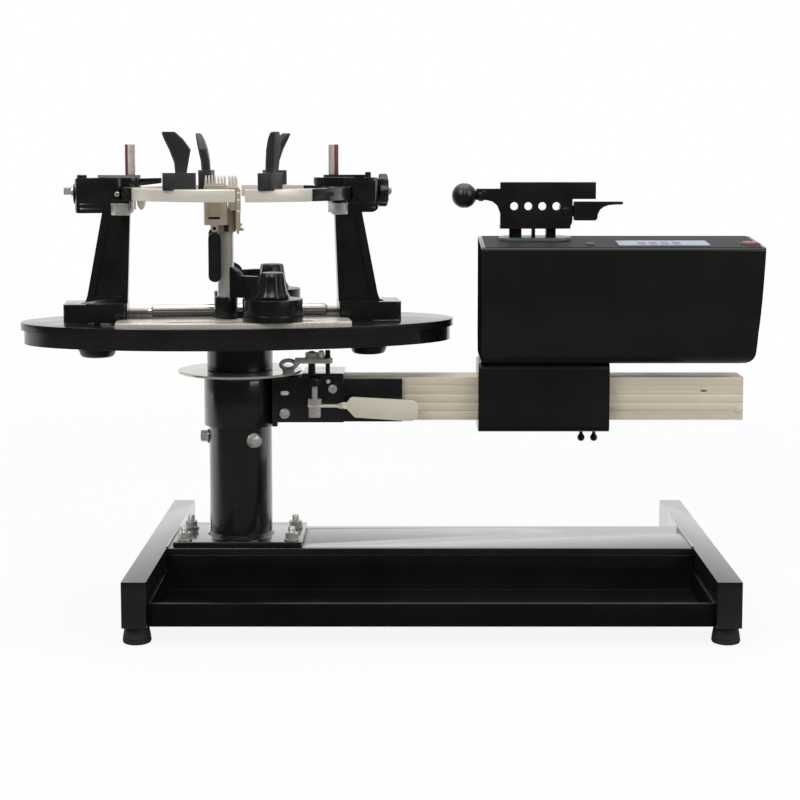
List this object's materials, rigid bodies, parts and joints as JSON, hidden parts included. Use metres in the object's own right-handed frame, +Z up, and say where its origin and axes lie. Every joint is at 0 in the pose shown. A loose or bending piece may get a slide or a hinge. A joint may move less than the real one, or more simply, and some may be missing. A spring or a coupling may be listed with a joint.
{
  "type": "racket stringing machine",
  "caption": "Table-top racket stringing machine: floor frame with tray, column, turntable with racket posts, side claws and string clamps, and a tension unit with gripper on a side rail.",
  "frame": {"origin": "centre of the overall box at floor level, under the feet", "axes": "+X along the rail from the column towards the tension unit, -Y towards the user, +Z up"},
  "size_m": [0.8019, 0.4, 0.5138],
  "materials": {
    "painted_steel": "satin black paint",
    "rubber": "matt black rubber",
    "cast_black": "black powder coat on a casting",
    "polished_steel": "polished",
    "zinc_steel": "zinc plated",
    "pale_aluminium": "satin anodised",
    "gloss_housing": "glossy black",
    "dark_plastic": "matt dark grey",
    "knob_plastic": "satin black",
    "peg_plastic": "pale, slightly clear",
    "keypad_panel": "pale blue film",
    "stop_red": "red"
  },
  "bodies": {
    "base": {"left_leg": "painted_steel", "right_leg": "painted_steel", "cross_channel": "painted_steel", "tool_tray": "painted_steel", "front_left_foot": "rubber", "front_right_foot": "rubber", "rear_left_foot": "rubber", "rear_right_foot": "rubber", "column": "painted_steel", "arm_bracket": "painted_steel", "rail": "pale_aluminium", "spindle_bearing": "zinc_steel", "brake_caliper": "zinc_steel"},
    "brake_lever": {"brake_lever": "zinc_steel"},
    "turntable": {"spindle": "polished_steel", "turntable_hub": "painted_steel", "brake_disc": "polished_steel", "turntable_plate": "cast_black", "front_track": "pale_aluminium", "rear_track": "pale_aluminium"},
    "drive_screw": {"drive_screw": "polished_steel"},
    "left_post": {"left_post": "cast_black", "left_yoke": "pale_aluminium"},
    "right_post": {"right_post": "cast_black", "right_yoke": "pale_aluminium"},
    "left_lock_knob": {"left_lock_knob": "knob_plastic"},
    "right_lock_knob": {"right_lock_knob": "knob_plastic"},
    "left_peg": {"left_peg": "peg_plastic"},
    "right_peg": {"right_peg": "peg_plastic"},
    "left_peg_screw": {"left_peg_screw": "zinc_steel"},
    "right_peg_screw": {"right_peg_screw": "knob_plastic"},
    "front_left_claw": {"front_left_claw": "dark_plastic"},
    "front_right_claw": {"front_right_claw": "dark_plastic"},
    "rear_left_claw": {"rear_left_claw": "dark_plastic"},
    "rear_right_claw": {"rear_right_claw": "dark_plastic"},
    "front_clamp_base": {"front_clamp_base": "cast_black"},
    "front_clamp_knob": {"front_clamp_knob": "knob_plastic"},
    "front_clamp_arm": {"front_clamp_arm": "cast_black"},
    "front_clamp_post": {"front_clamp_post": "polished_steel"},
    "front_clamp_head": {"front_clamp_head": "zinc_steel"},
    "front_clamp_jaw": {"front_clamp_jaw": "zinc_steel"},
    "front_clamp_lever": {"front_clamp_lever": "knob_plastic"},
    "rear_clamp_base": {"rear_clamp_base": "cast_black"},
    "rear_clamp_knob": {"rear_clamp_knob": "knob_plastic"},
    "rear_clamp_arm": {"rear_clamp_arm": "cast_black"},
    "rear_clamp_post": {"rear_clamp_post": "polished_steel"},
    "rear_clamp_head": {"rear_clamp_head": "zinc_steel"},
    "rear_clamp_jaw": {"rear_clamp_jaw": "zinc_steel"},
    "rear_clamp_lever": {"rear_clamp_lever": "knob_plastic"},
    "tension_unit": {"rail_carriage": "gloss_housing", "tension_housing": "gloss_housing", "power_inlet": "dark_plastic", "keypad": "keypad_panel"},
    "rail_lock_screw_1": {"rail_lock_screw_1": "knob_plastic"},
    "rail_lock_screw_2": {"rail_lock_screw_2": "knob_plastic"},
    "stop_button": {"stop_button": "stop_red"},
    "power_switch": {"power_switch": "dark_plastic"},
    "gripper_body": {"gripper_body": "cast_black"},
    "nose_ball": {"nose_ball": "knob_plastic"},
    "gripper_jaw": {"gripper_jaw": "cast_black"}
  },
  "joints": [
    {"name": "turntable_spin", "type": "hinge", "parent": "base", "child": "turntable", "pos_m": [-0.16634, 0, 0.3097], "axis": [0, 0, 1], "continuous": true},
    {"name": "brake_lever_turn", "type": "hinge", "parent": "base", "child": "brake_lever", "pos_m": [-0.08234, -0.0375, 0.2521], "axis": [0, 0, 1], "range_deg": [-70, 0]},
    {"name": "drive_screw_turn", "type": "hinge", "parent": "turntable", "child": "drive_screw", "pos_m": [-0.16634, 0, 0.32], "axis": [0.9938, 0.1115, 0], "range_deg": [-108, 1080]},
    {"name": "left_post_slide", "type": "slide", "parent": "turntable", "child": "left_post", "axis": [-0.9938, -0.1115, 0], "range_m": [-0.003, 0.03]},
    {"name": "right_post_slide", "type": "slide", "parent": "turntable", "child": "right_post", "axis": [0.9938, 0.1115, 0], "range_m": [-0.003, 0.03]},
    {"name": "left_lock_knob_turn", "type": "hinge", "parent": "left_post", "child": "left_lock_knob", "pos_m": [-0.31988, -0.01722, 0.2867], "axis": [0, 0, 1], "range_deg": [0, 180]},
    {"name": "left_peg_screw_turn", "type": "hinge", "parent": "left_post", "child": "left_peg_screw", "pos_m": [-0.31988, -0.01722, 0.451], "axis": [-0.9938, -0.1115, 0], "range_deg": [-1080, 1440]},
    {"name": "left_peg_slide", "type": "slide", "parent": "left_post", "child": "left_peg", "axis": [0.9938, 0.1115, 0], "range_m": [-0.006, 0.008]},
    {"name": "right_lock_knob_turn", "type": "hinge", "parent": "right_post", "child": "right_lock_knob", "pos_m": [-0.02522, 0.01583, 0.2867], "axis": [0, 0, 1], "range_deg": [0, 180]},
    {"name": "right_peg_screw_turn", "type": "hinge", "parent": "right_post", "child": "right_peg_screw", "pos_m": [-0.02522, 0.01583, 0.451], "axis": [0.9938, 0.1115, 0], "range_deg": [-1080, 1440]},
    {"name": "right_peg_slide", "type": "slide", "parent": "right_post", "child": "right_peg", "axis": [-0.9938, -0.1115, 0], "range_m": [-0.006, 0.008]},
    {"name": "front_left_claw_travel", "type": "hinge", "parent": "left_post", "child": "front_left_claw", "pos_m": [-0.16634, 0, 0.4548], "axis": [0, 0, -1], "range_deg": [-4, 10]},
    {"name": "front_right_claw_travel", "type": "hinge", "parent": "right_post", "child": "front_right_claw", "pos_m": [-0.16634, 0, 0.4548], "axis": [0, 0, 1], "range_deg": [-4, 10]},
    {"name": "rear_left_claw_travel", "type": "hinge", "parent": "left_post", "child": "rear_left_claw", "pos_m": [-0.16634, 0, 0.4548], "axis": [0, 0, 1], "range_deg": [-4, 10]},
    {"name": "rear_right_claw_travel", "type": "hinge", "parent": "right_post", "child": "rear_right_claw", "pos_m": [-0.16634, 0, 0.4548], "axis": [0, 0, -1], "range_deg": [-4, 10]},
    {"name": "front_clamp_base_slide", "type": "slide", "parent": "turntable", "child": "front_clamp_base", "axis": [0.9938, 0.1115, 0], "range_m": [-0.02, 0.03]},
    {"name": "front_clamp_knob_turn", "type": "hinge", "parent": "front_clamp_base", "child": "front_clamp_knob", "pos_m": [-0.12486, -0.06478, 0.3145], "axis": [0, 0, 1], "range_deg": [0, 180]},
    {"name": "front_clamp_arm_swing", "type": "hinge", "parent": "front_clamp_base", "child": "front_clamp_arm", "pos_m": [-0.12486, -0.06478, 0.3145], "axis": [0, 0, 1], "range_deg": [-8, 14]},
    {"name": "front_clamp_post_lift", "type": "slide", "parent": "front_clamp_arm", "child": "front_clamp_post", "axis": [0, 0, 1], "range_m": [0, 0.012]},
    {"name": "front_clamp_head_turn", "type": "hinge", "parent": "front_clamp_post", "child": "front_clamp_head", "pos_m": [-0.17732, -0.03665, 0.416], "axis": [0, 0, 1], "range_deg": [-30, 30]},
    {"name": "front_clamp_lever_swing", "type": "hinge", "parent": "front_clamp_head", "child": "front_clamp_lever", "pos_m": [-0.1868, -0.05532, 0.4124], "axis": [-0.1115, 0.9938, 0], "range_deg": [0, 60]},
    {"name": "front_clamp_jaw_slide", "type": "slide", "parent": "front_clamp_head", "child": "front_clamp_jaw", "axis": [0.9938, 0.1115, 0], "range_m": [0, 0.0018]},
    {"name": "rear_clamp_base_slide", "type": "slide", "parent": "turntable", "child": "rear_clamp_base", "axis": [0.9938, 0.1115, 0], "range_m": [-0.02, 0.03]},
    {"name": "rear_clamp_knob_turn", "type": "hinge", "parent": "rear_clamp_base", "child": "rear_clamp_knob", "pos_m": [-0.13627, 0.07281, 0.3145], "axis": [0, 0, 1], "range_deg": [0, 180]},
    {"name": "rear_clamp_arm_swing", "type": "hinge", "parent": "rear_clamp_base", "child": "rear_clamp_arm", "pos_m": [-0.13627, 0.07281, 0.3145], "axis": [0, 0, -1], "range_deg": [-8, 14]},
    {"name": "rear_clamp_post_lift", "type": "slide", "parent": "rear_clamp_arm", "child": "rear_clamp_post", "axis": [0, 0, 1], "range_m": [0, 0.012]},
    {"name": "rear_clamp_head_turn", "type": "hinge", "parent": "rear_clamp_post", "child": "rear_clamp_head", "pos_m": [-0.18517, 0.03331, 0.416], "axis": [0, 0, 1], "range_deg": [-30, 30]},
    {"name": "rear_clamp_lever_swing", "type": "hinge", "parent": "rear_clamp_head", "child": "rear_clamp_lever", "pos_m": [-0.19855, 0.04942, 0.4124], "axis": [-0.1115, 0.9938, 0], "range_deg": [0, 60]},
    {"name": "rear_clamp_jaw_slide", "type": "slide", "parent": "rear_clamp_head", "child": "rear_clamp_jaw", "axis": [0.9938, 0.1115, 0], "range_m": [0, 0.0018]},
    {"name": "tension_unit_slide", "type": "slide", "parent": "base", "child": "tension_unit", "axis": [1, 0, 0], "range_m": [-0.01, 0.06]},
    {"name": "rail_lock_screw_1_turn", "type": "hinge", "parent": "tension_unit", "child": "rail_lock_screw_1", "pos_m": [0.20966, 0, 0.1899], "axis": [0, 0, 1], "range_deg": [0, 360]},
    {"name": "rail_lock_screw_2_turn", "type": "hinge", "parent": "tension_unit", "child": "rail_lock_screw_2", "pos_m": [0.22366, 0, 0.1899], "axis": [0, 0, 1], "range_deg": [0, 360]},
    {"name": "gripper_slide", "type": "slide", "parent": "tension_unit", "child": "gripper_body", "axis": [1, 0, 0], "range_m": [0, 0.1]},
    {"name": "nose_ball_spin", "type": "hinge", "parent": "gripper_body", "child": "nose_ball", "pos_m": [0.07986, 0, 0.4454], "axis": [1, 0, 0], "continuous": true},
    {"name": "gripper_jaw_tilt", "type": "hinge", "parent": "gripper_body", "child": "gripper_jaw", "pos_m": [0.19016, 0, 0.4285], "axis": [0, 1, 0], "range_deg": [0, 8]},
    {"name": "stop_button_press", "type": "slide", "parent": "tension_unit", "child": "stop_button", "axis": [0, 0.0788, -0.9969], "range_m": [0, 0.002], "stiffness_N_per_m": 400, "springref_m": -0.0005},
    {"name": "power_switch_rock", "type": "hinge", "parent": "tension_unit", "child": "power_switch", "pos_m": [0.21516, -0.02408, 0.39315], "axis": [1, 0, 0], "range_deg": [0, 6]}
  ],
  "couplings": [
    {"joint": "drive_screw_turn", "follows": "left_post_slide", "rad_per_m": 628.32},
    {"joint": "right_post_slide", "follows": "left_post_slide", "ratio": 1},
    {"joint": "left_peg_screw_turn", "follows": "left_peg_slide", "rad_per_m": 3141.6},
    {"joint": "right_peg_screw_turn", "follows": "right_peg_slide", "rad_per_m": 3141.6},
    {"joint": "front_clamp_lever_swing", "follows": "front_clamp_jaw_slide", "rad_per_m": 581.78},
    {"joint": "rear_clamp_lever_swing", "follows": "rear_clamp_jaw_slide", "rad_per_m": 581.78}
  ]
}
